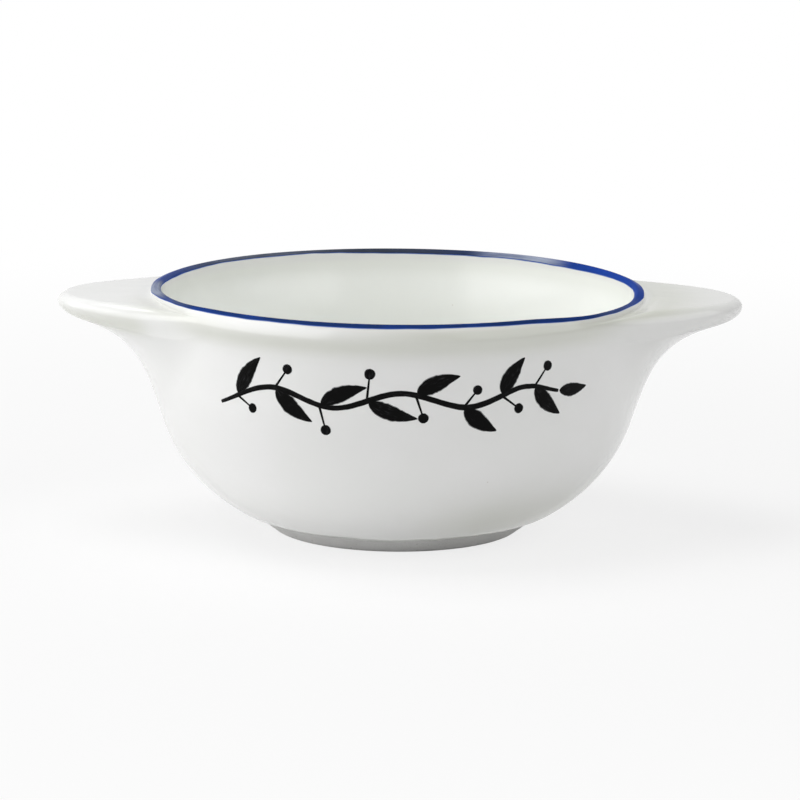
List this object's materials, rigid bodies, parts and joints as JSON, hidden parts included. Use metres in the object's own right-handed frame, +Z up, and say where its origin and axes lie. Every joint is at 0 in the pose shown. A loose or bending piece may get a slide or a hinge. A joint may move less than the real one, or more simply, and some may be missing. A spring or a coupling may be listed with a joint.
{
  "type": "earthenware bowl",
  "caption": "Round footed earthenware bowl with a flat ear handle on either side and a colour band painted round its half-round lip, for soup, porridge or cereal.",
  "frame": {"origin": "middle of the foot ring, on the surface that the bowl stands on", "axes": "+Z up along the bowl's axis, +X through the middle of the right ear, -Y towards the front"},
  "size_m": [0.1804, 0.13, 0.065],
  "materials": {
    "white_glaze": "clear gloss glaze over white earthenware",
    "blue_band": "hand-painted cobalt blue under gloss glaze",
    "bare_foot": "pale biscuit clay, wiped clean of glaze"
  },
  "bodies": {
    "root": {"bowl_body": "white_glaze", "left_ear": "white_glaze", "right_ear": "white_glaze", "rim_band": "blue_band", "foot_ring": "bare_foot"}
  },
  "joints": []
}
